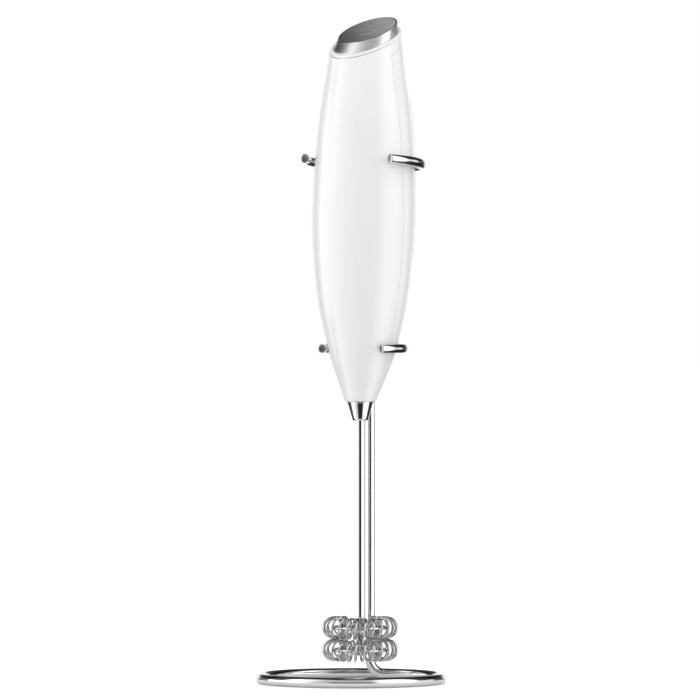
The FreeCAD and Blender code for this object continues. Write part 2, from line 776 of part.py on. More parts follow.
hub_blank = cylinder("hub_blank", "hub_radius", "hub_high - hub_low",
                     by_axis(0, 0, "hub_low"))
whisk_hub = node(cut("whisk_hub", hub_blank, whisk_shaft))


def ring_wire(name, level):
    """The core ring of one coil: a round loop whose two ends turn in to the hub."""
    radius = SIZES["whisk_radius"]
    bend = SIZES["core_bend"]
    offset = SIZES["core_leg_offset"]
    leg_from = SIZES["core_leg_start"]
    across = offset + bend
    along = math.sqrt((radius - bend) ** 2 - across ** 2)
    start = math.degrees(math.atan2(across, along))
    middle = SIZES["whisk_gap_angle"]
    centre = frother_axis + Z_AXIS * level
    outward = polar(1.0, middle)
    sideways = polar(1.0, middle + 90)
    loop = torus(name + "_loop", "whisk_radius", "core_wire", fixed(centre),
                 360 - 2 * start, FreeCAD.Rotation(Z_AXIS, middle + start))
    pieces = [loop]
    for index, side in enumerate((-1, 1)):
        bend_centre = centre + outward * along + sideways * (side * across)
        lowest = middle + 270 if side > 0 else middle - start
        pieces.append(torus("%s_bend_%d" % (name, index), "core_bend", "core_wire",
                            fixed(bend_centre), 90 + start,
                            FreeCAD.Rotation(Z_AXIS, lowest)))
        leg_start = centre + outward * leg_from + sideways * (side * offset)
        pieces.append(cylinder("%s_leg_%d" % (name, index), "core_wire", along - leg_from,
                               fixed(leg_start), FreeCAD.Rotation(Z_AXIS, outward)))
    blank = fuse(name + "_blank", *pieces)
    return node(cut(name, blank, hub_blank))


def whisk_coil(name, level):
    """A fine wire wound round the core ring, its two ends closed down onto the core."""
    turns = SIZES["coil_turns"]
    gap = SIZES["coil_gap"]
    grip = SIZES["core_wire"] + SIZES["coil_wire"] + SIZES["coil_grip_gap"]
    steps = turns * COIL_POINTS_PER_TURN
    points = []
    for step in range(steps + 1):
        share = step / steps
        around = math.radians(SIZES["whisk_gap_angle"] + gap / 2 + (360 - gap) * share)
        wind = 2 * math.pi * turns * share
        from_end = min(share, 1 - share) * turns / SIZES["coil_grip_turns"]
        reach = grip + (SIZES["coil_radius"] - grip) * min(1.0, from_end)
        radius = SIZES["whisk_radius"] + reach * math.cos(wind)
        points.append(FreeCAD.Vector(frother_axis.x + radius * math.cos(around),
                                     frother_axis.y + radius * math.sin(around),
                                     level + reach * math.sin(wind)))
    curve = Part.BSplineCurve()
    curve.interpolate(points)
    path = doc.addObject("Part::Feature", name + "_path")
    path.Shape = Part.Wire([curve.toShape()])
    profile = doc.addObject("Part::Circle", name + "_profile")
    bind(profile, Radius="coil_wire")
    tangent = curve.tangent(curve.FirstParameter)[0]
    place(profile, fixed(points[0]), FreeCAD.Rotation(Z_AXIS, tangent))
    return node(sweep(name, profile, path))


ring_wire("upper_ring_wire", SIZES["upper_level"])
ring_wire("lower_ring_wire", SIZES["lower_level"])
whisk_coil("upper_coil", SIZES["upper_level"])
whisk_coil("lower_coil", SIZES["lower_level"])

# ---------------------------------------------------------------- check and export

doc.recompute()
for part in doc.Objects:
    if "Invalid" in part.State or "Error" in part.State:
        raise RuntimeError("%s did not compute: %s" % (part.Name, part.State))
for part in NODES:
    if part.Shape.isNull() or not part.Shape.isValid():
        raise RuntimeError("%s is not a valid shape" % part.Label)
    part.Shape.exportStep("parts/%s.step" % part.Label)
    print("%-20s %d solid, %.1f mm3" % (part.Label, len(part.Shape.Solids), part.Shape.Volume))
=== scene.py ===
import json
import math

import bmesh
import bpy
import numpy as np
from mathutils import Matrix, Vector


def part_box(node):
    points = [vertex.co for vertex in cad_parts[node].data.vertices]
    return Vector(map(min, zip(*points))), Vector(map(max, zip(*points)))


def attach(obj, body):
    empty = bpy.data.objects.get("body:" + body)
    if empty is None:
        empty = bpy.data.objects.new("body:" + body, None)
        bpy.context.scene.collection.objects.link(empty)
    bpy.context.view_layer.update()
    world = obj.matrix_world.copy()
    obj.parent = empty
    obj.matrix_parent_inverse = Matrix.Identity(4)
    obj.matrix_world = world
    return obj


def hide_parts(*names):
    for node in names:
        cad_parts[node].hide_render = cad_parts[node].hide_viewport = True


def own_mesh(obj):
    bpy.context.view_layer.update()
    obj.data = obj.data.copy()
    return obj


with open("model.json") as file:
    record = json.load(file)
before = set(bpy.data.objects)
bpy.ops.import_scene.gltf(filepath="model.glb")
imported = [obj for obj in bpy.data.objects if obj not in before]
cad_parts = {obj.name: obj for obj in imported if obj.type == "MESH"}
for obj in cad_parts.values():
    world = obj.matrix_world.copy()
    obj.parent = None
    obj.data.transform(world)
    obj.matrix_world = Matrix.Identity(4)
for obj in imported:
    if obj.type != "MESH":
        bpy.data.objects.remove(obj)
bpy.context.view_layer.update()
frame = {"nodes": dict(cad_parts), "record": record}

# The frother stands in its wire stand: +Z is up, -Y is the handle's front, units are metres.
MM = 0.001


def node_centre(node):
    low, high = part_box(node)
    return (low + high) / 2


def node_span(node):
    low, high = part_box(node)
    return high - low


shaft_centre = node_centre("whisk_shaft")
AXIS_X = shaft_centre.x
AXIS_Y = shaft_centre.y
SHAFT_RADIUS = node_span("whisk_shaft").x / 2
ROD_RADIUS = node_span("base_ring").z / 2
RING_RADIUS = node_span("base_ring").x / 2 - ROD_RADIUS

# Handle sizes, as in the frame
SHELL_WALL = 1.6 * MM
PARTING = 0.8 * MM
SEAM_HALF = 0.035 * MM
SLOPE = math.tan(math.radians(26.0))
RIM_HEIGHT = 217.3 * MM
RIM_SHIFT = 3.2 * MM
COLLAR_DROP = 4.0 * MM
DOOR_LOW = 144.0 * MM
DOOR_HIGH = 198.0 * MM
DOOR_HALF = 12.8 * MM
DOOR_GAP = 0.15 * MM
DOOR_RISE = 0.5 * MM
DOOR_THICKNESS = 1.2 * MM
RECESS_HIGH = 206.0 * MM
RECESS_DEPTH = 1.0 * MM
BEZEL_RISE = 0.8 * MM
CAP_HALF_WIDTH = 10.95 * MM
CAP_HALF_DEPTH = 10.5 * MM
CAP_SHIFT = 3.0 * MM
CAP_GAP = 0.2 * MM
CAP_HEIGHT = 2.9 * MM
CAP_TAPER = 0.75 * MM
CAP_TOP_SHIFT = 1.2 * MM
CAP_SKIRT = 1.2 * MM
FACE_INSET = 0.5 * MM
BUTTON_SIDES = 128
SHELL_ROUND = 0.13 * MM

# Cross-sections of the handle in millimetres: height, half width, half depth, shift to the back
HANDLE_SECTIONS = (
    (95.2, 5.4, 5.4, 0.0),
    (101.5, 7.85, 7.7, 0.55),
    (108.5, 10.5, 10.25, 1.0),
    (116.6, 12.8, 12.35, 1.2),
    (124.8, 14.7, 14.05, 1.2),
    (141.1, 17.0, 16.05, 1.4),
    (157.0, 17.9, 16.9, 1.77),
    (173.7, 17.45, 16.45, 2.22),
    (194.1, 15.78, 14.89, 2.75),
    (211.5, 13.1, 12.45, 3.1),
    (226.0, 11.7, 11.2, 3.5),
)
NOSE_HEIGHT = HANDLE_SECTIONS[0][0] * MM


# ------------------------------------------------------------------ mesh tools

def smooth_table(rows):
    """A natural cubic spline through the rows; the first number of a row is its place."""
    data = np.array(rows, float) * MM
    place, values = data[:, 0], data[:, 1:]
    count = len(place)
    gaps = np.diff(place)
    system = np.eye(count)
    right = np.zeros((count, values.shape[1]))
    for i in range(1, count - 1):
        system[i, i - 1] = gaps[i - 1]
        system[i, i] = 2 * (gaps[i - 1] + gaps[i])
        system[i, i + 1] = gaps[i]
        step_up = (values[i + 1] - values[i]) / gaps[i]
        step_down = (values[i] - values[i - 1]) / gaps[i - 1]
        right[i] = 6 * (step_up - step_down)
    bend = np.linalg.solve(system, right)

    def at(where):
        i = int(np.clip(np.searchsorted(place, where) - 1, 0, count - 2))
        gap = gaps[i]
        above = (where - place[i]) / gap
        below = 1 - above
        curve = (below ** 3 - below) * bend[i] + (above ** 3 - above) * bend[i + 1]
        return below * values[i] + above * values[i + 1] + curve * gap * gap / 6

    return at


def new_piece(name, mesh_builder, body, material, replaces=()):
    """Turn a finished bmesh into a piece that rides on a body."""
    mesh = bpy.data.meshes.new(name)
    bmesh.ops.recalc_face_normals(mesh_builder, faces=mesh_builder.faces)
    mesh_builder.to_mesh(mesh)
    mesh_builder.free()
    for polygon in mesh.polygons:
        polygon.use_smooth = True
    piece = bpy.data.objects.new(name, mesh)
    bpy.context.scene.collection.objects.link(piece)
    piece.data.materials.append(material)
    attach(piece, body)
    if replaces:
        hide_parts(*replaces)
    return piece


def soften(piece, width, segments=3, angle=40):
    """Round the piece's sharp edges and keep its broad faces clean."""
    bevel = piece.modifiers.new("edge_round", "BEVEL")
    bevel.width = width
    bevel.segments = segments
    bevel.limit_method = "ANGLE"
    bevel.angle_limit = math.radians(angle)
    bevel.use_clamp_overlap = True
    bevel.miter_outer = "MITER_ARC"
    normals = piece.modifiers.new("clean_normals", "WEIGHTED_NORMAL")
    normals.keep_sharp = True
    normals.weight = 50


def loops_to_bmesh(loops, closed_ends=True, joined=False):
    """Skin a list of equal closed loops; joined links the last loop back to the first."""
    builder = bmesh.new()
    rings = [[builder.verts.new(point) for point in loop] for loop in loops]
    pairs = list(zip(rings, rings[1:]))
    if joined:
        pairs.append((rings[-1], rings[0]))
    for lower, upper in pairs:
        for i in range(len(lower)):
            j = (i + 1) % len(lower)
            builder.faces.new((lower[i], lower[j], upper[j], upper[i]))
    if closed_ends and not joined:
        for ring in (rings[0], rings[-1]):
            middle = sum((vert.co for vert in ring), Vector()) / len(ring)
            hub = builder.verts.new(middle)
            for i in range(len(ring)):
                builder.faces.new((ring[i], ring[(i + 1) % len(ring)], hub))
    return builder


def lathe(profile, centre=(0.0, 0.0), sides=96, joined=False):
    """Turn a profile of (radius, height) pairs about a vertical axis."""
    loops = []
    for radius, height in profile:
        loop = []
        for i in range(sides):
            angle = 2 * math.pi * i / sides
            loop.append(Vector((centre[0] + radius * math.cos(angle),
                                centre[1] + radius * math.sin(angle), height)))
        loops.append(loop)
    return loops_to_bmesh(loops, joined=joined)


# A cut wire's chamfer: its depth, then each loop's share of that depth and of the radius.
# A rounded end has one loop at each of these angles towards its tip.
CHAMFER = 0.14
CHAMFER_LOOPS = ((0.5, 0.96), (1.0, 0.86))
ROUND_ANGLES = (20, 40, 60, 78)


def tube(points, radius, closed=False, sides=20, end="cut"):
    """A round wire along a path. Its ends are cut with a small chamfer, or rounded."""
    points = [Vector(point) for point in points]
    count = len(points)
    tangents = []
    for i in range(count):
        before = points[i - 1] if closed or i > 0 else points[i]
        after = points[(i + 1) % count] if closed or i < count - 1 else points[i]
        tangents.append((after - before).normalized())
    side = tangents[0].orthogonal().normalized()
    sides_along = []
    for i in range(count):
        if i > 0:
            turn = tangents[i - 1].rotation_difference(tangents[i])
            side = turn @ side
        side = (side - tangents[i] * side.dot(tangents[i])).normalized()
        sides_along.append(side)
    twist = 0.0
    if closed:
        back = tangents[-1].rotation_difference(tangents[0]) @ sides_along[-1]
        first = sides_along[0]
        twist = math.atan2(back.cross(first).dot(tangents[0]), back.dot(first))

    def ring(centre, tangent, across, size):
        other = tangent.cross(across)
        return [centre + (across * math.cos(angle) + other * math.sin(angle)) * size
                for angle in (2 * math.pi * k / sides for k in range(sides))]

    loops = []
    if not closed:
        first_end = tube_end(points[0], -tangents[0], tangents[0], sides_along[0], radius, end,
                             ring)
        loops += first_end[::-1]
    for i in range(count):
        across = Matrix.Rotation(twist * i / count, 3, tangents[i]) @ sides_along[i]
        loops.append(ring(points[i], tangents[i], across, radius))
    if not closed:
        loops += tube_end(points[-1], tangents[-1], tangents[-1], sides_along[-1], radius, end, ring)
    return loops_to_bmesh(loops, joined=closed)


def tube_end(point, outward, tangent, across, radius, end, ring):
    """The loops that finish one end of a wire, from its full size to its tip."""
    if end == "round":
        steps = [math.radians(angle) for angle in ROUND_ANGLES]
        return [ring(point + outward * radius * math.sin(angle), tangent, across,
                     radius * math.cos(angle)) for angle in steps]
    chamfer = radius * CHAMFER
    return [ring(point + outward * chamfer * depth, tangent, across, radius * size)
            for depth, size in CHAMFER_LOOPS]


# Points nearer than this count as one; a bend has a point every 6 degrees and at least 6
SAME_POINT = 1e-6
BEND_STEP = math.radians(6)
BEND_PARTS = 6


def rounded_path(corners, bends, step):
    """Points along straight runs joined by arcs, no further apart than the step."""
    points = [corners[0]]

    def run_to(end):
        start = points[-1]
        parts = max(1, math.ceil((end - start).length / step))
        for k in range(1, parts + 1):
            points.append(start.lerp(end, k / parts))

    for before, corner, after, bend in zip(corners, corners[1:], corners[2:], bends):
        inward = (corner - before).normalized()
        outward = (after - corner).normalized()
        angle = inward.angle(outward)
        reach = bend * math.tan(angle / 2)
        bend_start = corner - inward * reach
        if (bend_start - points[-1]).length > SAME_POINT:
            run_to(bend_start)
        axis = inward.cross(outward).normalized()
        centre = bend_start + axis.cross(inward) * bend
        parts = max(BEND_PARTS, math.ceil(angle / BEND_STEP))
        for k in range(1, parts + 1):
            turn = Matrix.Rotation(angle * k / parts, 3, axis)
            points.append(centre + turn @ (bend_start - centre))
    if (corners[-1] - points[-1]).length > SAME_POINT:
        run_to(corners[-1])
    return points


def polar(radius, degrees, height=0.0):
    angle = math.radians(degrees)
    return Vector((radius * math.cos(angle), radius * math.sin(angle), height))


# ------------------------------------------------------------------ materials

class Surface:
    """A procedural material: a Principled shader and short ways to feed it."""

    def __init__(self, name, colour, metallic, roughness):
        self.material = bpy.data.materials.new(name)
        self.material.use_nodes = True
        self.tree = self.material.node_tree
        self.shader = self.tree.nodes["Principled BSDF"]
        self.shader.inputs["Base Color"].default_value = (*colour, 1)
        self.shader.inputs["Metallic"].default_value = metallic
        self.shader.inputs["Roughness"].default_value = roughness
        self.place = self.node("ShaderNodeTexCoord").outputs["Object"]

    def node(self, kind, **settings):
        made = self.tree.nodes.new(kind)
        for field, value in settings.items():
            setattr(made, field, value)
        return made

    def link(self, output, target):
        self.tree.links.new(output, target)

    def stretched(self, scale):
        mapping = self.node("ShaderNodeMapping")
        mapping.inputs["Scale"].default_value = scale
        self.link(self.place, mapping.inputs["Vector"])
        return mapping.outputs["Vector"]

    def noise(self, scale, detail=3.0, rough=0.5, where=None):
        made = self.node("ShaderNodeTexNoise")
        made.inputs["Scale"].default_value = scale
        made.inputs["Detail"].default_value = detail
        made.inputs["Roughness"].default_value = rough
        self.link(where or self.place, made.inputs["Vector"])
        return made.outputs["Fac"]

    def spread(self, value, low, high, start=0.3, stop=0.7):
        made = self.node("ShaderNodeMapRange")
        made.inputs["From Min"].default_value = start
        made.inputs["From Max"].default_value = stop
        made.inputs["To Min"].default_value = low
        made.inputs["To Max"].default_value = high
        self.link(value, made.inputs["Value"])
        return made.outputs["Result"]

    def combine(self, first, second):
        """The sum of two values."""
        made = self.node("ShaderNodeMath", operation="ADD")
        self.link(first, made.inputs[0])
        self.link(second, made.inputs[1])
        return made.outputs["Value"]

    def colours(self, share, first, second):
        made = self.node("ShaderNodeMix", data_type="RGBA")
        made.inputs["A"].default_value = (*first, 1)
        made.inputs["B"].default_value = (*second, 1)
        self.link(share, made.inputs["Factor"])
        self.link(made.outputs["Result"], self.shader.inputs["Base Color"])

    def roughness(self, value):
        self.link(value, self.shader.inputs["Roughness"])

    def bump(self, value, depth, strength=1.0):
        made = self.node("ShaderNodeBump")
        made.inputs["Distance"].default_value = depth
        made.inputs["Strength"].default_value = strength
        self.link(value, made.inputs["Height"])
        self.link(made.outputs["Normal"], self.shader.inputs["Normal"])

    def set(self, **values):
        for name, value in values.items():
            self.shader.inputs[name.replace("_", " ")].default_value = value


def gloss_white():
    """Moulded gloss plastic with a faint flow texture and fine handling marks."""
    made = Surface("gloss_white", (0.90, 0.90, 0.90), 0.0, 0.16)
    tint = made.spread(made.noise(40, 2.0), 0.0, 1.0)
    made.colours(tint, (0.895, 0.897, 0.900), (0.915, 0.914, 0.910))
    marks = made.noise(900, 4.0, 0.6, made.stretched((1.0, 1.0, 0.15)))
    broad = made.noise(60, 3.0)
    made.roughness(made.combine(made.spread(marks, 0.0, 0.05), made.spread(broad, 0.13, 0.19)))
    made.bump(made.combine(made.noise(160, 2.0), made.noise(1400, 2.0)), 0.000012)
    made.set(IOR=1.47, Coat_Weight=0.25, Coat_Roughness=0.06, Subsurface_Weight=0.03,
             Subsurface_Scale=0.002)
    return made.material


def chrome(name, roughness=0.06, tint=(0.80, 0.80, 0.81)):
    """Bright plating over drawn wire: fine lines along the work and cloudy wear."""
    made = Surface(name, tint, 1.0, roughness)
    cloud = made.noise(220, 4.0, 0.6)
    made.colours(made.spread(cloud, 0.0, 1.0), [c * 0.93 for c in tint], tint)
    fine = made.noise(2600, 3.0, 0.6)
    made.roughness(made.combine(made.spread(cloud, roughness * 0.6, roughness * 1.5),
                                made.spread(fine, 0.0, 0.03)))
    made.bump(fine, 0.000004)
    return made.material


def brushed_cap():
    """Aluminium brushed round the button's side."""
    made = Surface("brushed_cap", (0.60, 0.60, 0.61), 1.0, 0.30)
    lines = made.noise(900, 5.0, 0.65, made.stretched((0.06, 0.06, 3.0)))
    made.colours(made.spread(lines, 0.0, 1.0), (0.52, 0.52, 0.53), (0.64, 0.64, 0.65))
    made.roughness(made.spread(lines, 0.22, 0.38))
    made.bump(lines, 0.00002, 0.6)
    made.set(Anisotropic=0.5)
    return made.material


def satin_face():
    """Satin metallic face of the button, brushed one way, with painted shade: dark towards the
    front, lighter towards the back.
    """
    made = Surface("satin_face", (0.36, 0.36, 0.365), 0.45, 0.36)
    lines = made.noise(700, 4.0, 0.6, made.stretched((0.08, 2.0, 2.0)))
    split = made.node("ShaderNodeSeparateXYZ")
    made.link(made.place, split.inputs["Vector"])
    slant = made.combine(split.outputs["X"], split.outputs["Y"])
    # Painted shade and light: the face's colour runs from dark at the front to light at the back,
    # across X + Y.
    fade_front, fade_length = 6 * MM, 20 * MM
    start = AXIS_X + AXIS_Y - fade_front
    painted_shade_ramp = made.spread(slant, 0.0, 0.8, start, start + fade_length)
    share = made.combine(painted_shade_ramp, made.spread(lines, 0.0, 0.2))
    made.colours(share, (0.11, 0.11, 0.115), (0.58, 0.58, 0.58))
    made.roughness(made.spread(lines, 0.30, 0.44))
    made.bump(lines, 0.00001, 0.6)
    return made.material


def plain(name, colour, metallic, roughness, grain=500.0):
    """Mottled colour, roughness and grain, for what the shells hide and for sheared ends."""
    depth, change, swing, smoothest = 0.00002, 0.15, 0.08, 0.03
    made = Surface(name, colour, metallic, roughness)
    cloud = made.noise(grain * 0.2, 3.0)
    dark = [c * (1 - change) for c in colour]
    light = [min(1.0, c * (1 + change)) for c in colour]
    made.colours(made.spread(cloud, 0.0, 1.0), dark, light)
    fine = made.noise(grain, 4.0, 0.6)
    made.roughness(made.spread(fine, max(smoothest, roughness - swing), roughness + swing))
    made.bump(fine, depth)
    return made.material


WHITE = gloss_white()
CHROME = chrome("chrome_wire")
NOSE_CHROME = chrome("nose_chrome", 0.05)
WHISK_STEEL = chrome("whisk_steel", 0.06, (0.56, 0.56, 0.57))
CAP_METAL = brushed_cap()
FACE_METAL = satin_face()
SHEARED = plain("sheared_end", (0.30, 0.30, 0.31), 1.0, 0.45, 1500)
SLOT_MATERIALS = {
    "stand_wire": CHROME,
    "white_shell": WHITE,
    "nose_chrome": NOSE_CHROME,
    "cap_metal": CAP_METAL,
    "face_metal": FACE_METAL,
    "whisk_steel": WHISK_STEEL,
    "inner_plastic": plain("inner_plastic", (0.74, 0.74, 0.71), 0.0, 0.42),
    "dark_plastic": plain("dark_plastic", (0.035, 0.035, 0.04), 0.0, 0.40),
    "board_green": plain("board_green", (0.03, 0.17, 0.07), 0.0, 0.32, 900),
    "cell_wrap": plain("cell_wrap", (0.10, 0.12, 0.16), 0.0, 0.25, 300),
    "contact_plate": plain("contact_plate", (0.72, 0.70, 0.64), 1.0, 0.24, 800),
    "spring_steel": plain("spring_steel", (0.55, 0.55, 0.56), 1.0, 0.22, 1200),
    "motor_steel": plain("motor_steel", (0.60, 0.60, 0.61), 1.0, 0.30, 700),
    "magnet_ferrite": plain("magnet_ferrite", (0.06, 0.06, 0.06), 0.2, 0.60, 900),
    "bush_brass": plain("bush_brass", (0.78, 0.57, 0.25), 1.0, 0.26, 900),
    "copper_winding": plain("copper_winding", (0.72, 0.33, 0.14), 1.0, 0.30, 1200),
    "red_sleeve": plain("red_sleeve", (0.55, 0.02, 0.02), 0.0, 0.38),
    "black_sleeve": plain("black_sleeve", (0.02, 0.02, 0.02), 0.0, 0.38),
}


def dress_frame_nodes():
    """Give every node that stays its own slot's material."""
    slots = {entry["node"]: entry["material_slot"] for entry in frame["record"]["subparts"]}
    for name, node in frame["nodes"].items():
        material = SLOT_MATERIALS[slots[name]]
        if not node.data.materials:
            node.data.materials.append(material)
        for i in range(len(node.data.materials)):
            node.data.materials[i] = material


# ------------------------------------------------------------------ handle

handle_at = smooth_table(HANDLE_SECTIONS)


def handle_point(height, angle, grow=0.0):
    half_width, half_depth, shift = handle_at(height)
    return Vector((AXIS_X + (half_width + grow) * math.cos(angle),
                   AXIS_Y + shift + (half_depth + grow) * math.sin(angle), height))


# Rounds that settle where a line meets the sloping plane
SLOPE_ROUNDS = 12


def on_slope(angle_at, rise, grow=0.0):
    """Where a line up the handle meets the plane that lies this far above the rim."""
    height = RIM_HEIGHT
    for _ in range(SLOPE_ROUNDS):
        y = handle_point(height, angle_at(height), grow).y - AXIS_Y
        height = RIM_HEIGHT + rise + (y - RIM_SHIFT) * SLOPE
    return height


class ShellGrid:
    """Rows and columns over the whole handle that follow its seams, door and recess."""

    # Rows below the door, beside it, beside its recess, up to the collar and up to the rim
    ROWS = (40, 40, 10, 8, 5)
    # The recess takes at most this share of the way from the door to the collar
    RECESS_SHARE = 0.5
    SIDE_COLUMNS = 12
    DOOR_COLUMNS = 26
    FRONT_COLUMNS = 52

    def __init__(self, parting, drop):
        self.parting = parting
        self.drop = drop
        self.door_right = self.SIDE_COLUMNS
        self.door_left = self.door_right + self.DOOR_COLUMNS
        self.rear_end = self.door_left + self.SIDE_COLUMNS
        self.columns = self.rear_end + self.FRONT_COLUMNS
        self.row_marks = [sum(self.ROWS[:i]) for i in range(len(self.ROWS) + 1)]
        self.door_row, self.door_end, self.recess_end, self.collar_row = self.row_marks[1:5]
        self.heights = [self.column_heights(j) for j in range(self.columns)]

    def parting_angle(self, height):
        half_width, half_depth, shift = handle_at(height)
        return math.asin((self.parting - shift) / half_depth)

    def door_angle(self, height):
        """The door's edge keeps its width; past its ends it fans out with the handle."""
        level = min(max(height, DOOR_LOW), RECESS_HIGH)
        seam = self.parting_angle(level)
        edge = math.acos(DOOR_HALF / handle_at(level)[0])
        share = (edge - seam) / (math.pi / 2 - seam)
        here = self.parting_angle(height)
        return here + share * (math.pi / 2 - here)

    def angle(self, j, height):
        seam = self.parting_angle(height)
        door = self.door_angle(height)
        stops = ((0, seam), (self.door_right, door), (self.door_left, math.pi - door),
                 (self.rear_end, math.pi - seam), (self.columns, 2 * math.pi + seam))
        for (first, low), (last, high) in zip(stops, stops[1:]):
            if j <= last:
                return low + (high - low) * (j - first) / (last - first)
        return stops[-1][1]

    def column_heights(self, j):
        def angle_at(height):
            return self.angle(j, height)

        collar = on_slope(angle_at, -self.drop)
        rim = on_slope(angle_at, 0.0)
        recess = DOOR_HIGH + min(RECESS_HIGH - DOOR_HIGH,
                                 self.RECESS_SHARE * (collar - DOOR_HIGH))
        marks = (NOSE_HEIGHT, DOOR_LOW, DOOR_HIGH, recess, collar, rim)
        heights = [marks[0]]
        for low, high, count in zip(marks, marks[1:], self.ROWS):
            heights += [low + (high - low) * (k + 1) / count for k in range(count)]
        return heights

    def point(self, i, j, grow):
        height = self.heights[j % self.columns][i]
        return handle_point(height, self.angle(j % self.columns, height), grow)


def layered_shell(grid, cell):
    """Build a wall from a grid; cell(i, j) gives its outer and inner offset, or None."""
    builder = bmesh.new()
    made = {}
    rows = grid.row_marks[-1]

    def vert(i, j, grow):
        key = (i, j % grid.columns, grow)
        if key not in made:
            made[key] = builder.verts.new(grid.point(i, j, grow))
        return made[key]

    def wall(first, second, grow_a, grow_b):
        corners = (vert(*first, grow_a), vert(*second, grow_a),
                   vert(*second, grow_b), vert(*first, grow_b))
        builder.faces.new(corners)

    def step(here, there, first, second):
        if here == there:
            return
        if here and there:
            for k in (0, 1):
                if here[k] != there[k]:
                    wall(first, second, here[k], there[k])
        else:
            wall(first, second, *(here or there))

    def cell_or_none(i, j):
        return cell(i, j % grid.columns) if 0 <= i < rows else None

    for i in range(rows + 1):
        for j in range(grid.columns):
            here = cell_or_none(i, j)
            if here:
                for grow in here:
                    builder.faces.new([vert(*corner, grow) for corner in
                                       ((i, j), (i, j + 1), (i + 1, j + 1), (i + 1, j))])
            step(here, cell_or_none(i - 1, j), (i, j), (i, j + 1))
            if i < rows:
                step(here, cell_or_none(i, j - 1), (i, j), (i + 1, j))
    return builder


def front_shell():
    """The front of the handle with the collar all round its top."""
    grid = ShellGrid(PARTING - SEAM_HALF, COLLAR_DROP - SEAM_HALF)

    def cell(i, j):
        return (0.0, -SHELL_WALL) if j >= grid.rear_end or i >= grid.collar_row else None

    piece = new_piece("front_shell_skin", layered_shell(grid, cell), "handle",
                      WHITE, ["front_shell"])
    soften(piece, SHELL_ROUND)


def rear_shell():
    """The back of the handle, with the door's window and the recess above it."""
    grid = ShellGrid(PARTING + SEAM_HALF, COLLAR_DROP + SEAM_HALF)

    def cell(i, j):
        if j >= grid.rear_end or i >= grid.collar_row:
            return None
        if grid.door_right <= j < grid.door_left:
            if grid.door_row <= i < grid.door_end:
                return None
            if grid.door_end <= i < grid.recess_end:
                return (-RECESS_DEPTH, -SHELL_WALL)
        return (0.0, -SHELL_WALL)

    piece = new_piece("rear_shell_skin", layered_shell(grid, cell), "handle",
                      WHITE, ["rear_shell"])
    soften(piece, SHELL_ROUND)


def battery_door():
    """The curved door, a little proud of the handle."""
    rows, columns = 60, 40
    edge_round = 0.3 * MM
    half = DOOR_HALF - DOOR_GAP
    low, high = DOOR_LOW + DOOR_GAP, DOOR_HIGH - DOOR_GAP
    inner = DOOR_RISE - DOOR_THICKNESS
    builder = bmesh.new()
    sheets = []
    for grow in (DOOR_RISE, inner):
        sheet = []
        for i in range(rows + 1):
            height = low + (high - low) * i / rows
            edge = math.acos(half / (handle_at(height)[0] + grow))
            angles = [edge + (math.pi - 2 * edge) * j / columns for j in range(columns + 1)]
            sheet.append([builder.verts.new(handle_point(height, angle, grow))
                          for angle in angles])
        sheets.append(sheet)
        for i in range(rows):
            for j in range(columns):
                builder.faces.new((sheet[i][j], sheet[i][j + 1],
                                   sheet[i + 1][j + 1], sheet[i + 1][j]))
    outside, inside = sheets
    border = [(0, j) for j in range(columns)] + [(i, columns) for i in range(rows)]
    border += [(rows, j) for j in range(columns, 0, -1)] + [(i, 0) for i in range(rows, 0, -1)]
    for (i, j), (k, m) in zip(border, border[1:] + border[:1]):
        builder.faces.new((outside[i][j], outside[k][m], inside[k][m], inside[i][j]))
    piece = new_piece("battery_door_skin", builder, "battery_door", WHITE,
                      ["battery_door"])
    soften(piece, edge_round, 4)


def slope_loop(shrink, rise, shift=0.0):
    """An oval of the button, parallel to the sloping top."""
    loop = []
    for k in range(BUTTON_SIDES):
        angle = 2 * math.pi * k / BUTTON_SIDES
        x = (CAP_HALF_WIDTH - shrink) * math.cos(angle)
        y = CAP_SHIFT + shift + (CAP_HALF_DEPTH - shrink) * math.sin(angle)
        height = RIM_HEIGHT + rise + (y - RIM_SHIFT) * SLOPE
        loop.append(Vector((AXIS_X + x, AXIS_Y + y, height)))
    return loop


def button_bezel():
    """The white lip between the shell's edge and the button."""
    step_in, foot_rise, edge_round = 0.25 * MM, 0.02 * MM, 0.14 * MM

    def outer_loop(rise):
        loop = []
        for k in range(BUTTON_SIDES):
            angle = 2 * math.pi * k / BUTTON_SIDES
            height = on_slope(lambda _: angle, rise, -step_in)
            loop.append(handle_point(height, angle, -step_in))
        return loop

    loops = [slope_loop(-CAP_GAP, 0.0), outer_loop(foot_rise), outer_loop(BEZEL_RISE),
             slope_loop(-CAP_GAP, BEZEL_RISE)]
    piece = new_piece("button_bezel_lip", loops_to_bmesh(loops, joined=True), "handle",
                      WHITE, ["button_bezel"])
    soften(piece, edge_round, 4)


def button_cap():
    """The brushed side band and the seat of the face."""
    top = BEZEL_RISE + CAP_HEIGHT
    wall = 1.2 * MM
    roof = 1.5 * MM
    face_depth = 0.6 * MM
    roof_shift = CAP_TOP_SHIFT * 0.4
    edge_round = 0.16 * MM
    inset = CAP_TAPER + FACE_INSET
    loops = [
        slope_loop(CAP_TAPER + wall, top - roof, roof_shift),
        slope_loop(CAP_TAPER + wall, -CAP_SKIRT),
        slope_loop(0.0, -CAP_SKIRT),
        slope_loop(0.0, BEZEL_RISE),
        slope_loop(CAP_TAPER, top, CAP_TOP_SHIFT),
        slope_loop(inset, top, CAP_TOP_SHIFT),
        slope_loop(inset, top - face_depth, CAP_TOP_SHIFT),
    ]
    piece = new_piece("button_cap_band", loops_to_bmesh(loops), "button",
                      CAP_METAL, ["button_cap"])
    soften(piece, edge_round, 3, 15)


